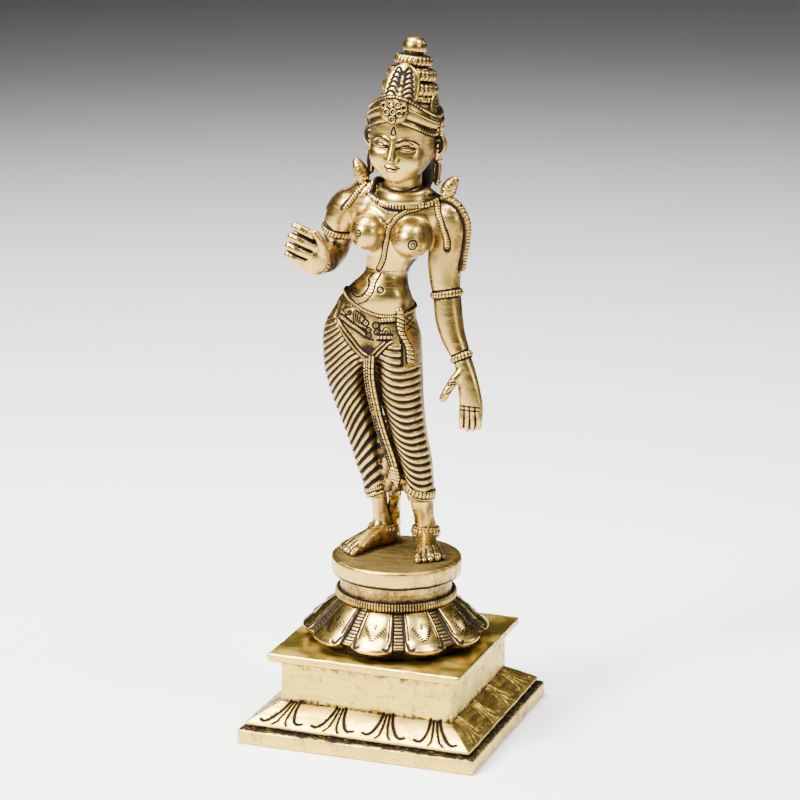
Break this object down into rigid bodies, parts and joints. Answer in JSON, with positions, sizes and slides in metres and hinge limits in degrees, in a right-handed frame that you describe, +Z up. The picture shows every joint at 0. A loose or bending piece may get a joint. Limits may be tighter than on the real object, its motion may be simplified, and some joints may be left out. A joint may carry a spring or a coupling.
{
  "type": "parvati figure",
  "caption": "Standing goddess in cast brass with a tall tiered crown, one hand raised and one hanging, on a round disc, a lotus pedestal and a stepped square plinth.",
  "frame": {"origin": "centre of the plinth's underside", "axes": "+Z up through the figure, -Y the way the figure faces, +X towards the figure's left hand"},
  "size_m": [0.1, 0.1, 0.2836],
  "materials": {
    "filed_brass": "filed and brushed yellow brass, dark in the grooves",
    "polished_brass": "hand-polished yellow brass with black-brown patina left in the chased lines"
  },
  "bodies": {
    "root": {"square_plinth": "filed_brass", "lotus_pedestal": "polished_brass", "figure": "polished_brass"}
  },
  "joints": []
}
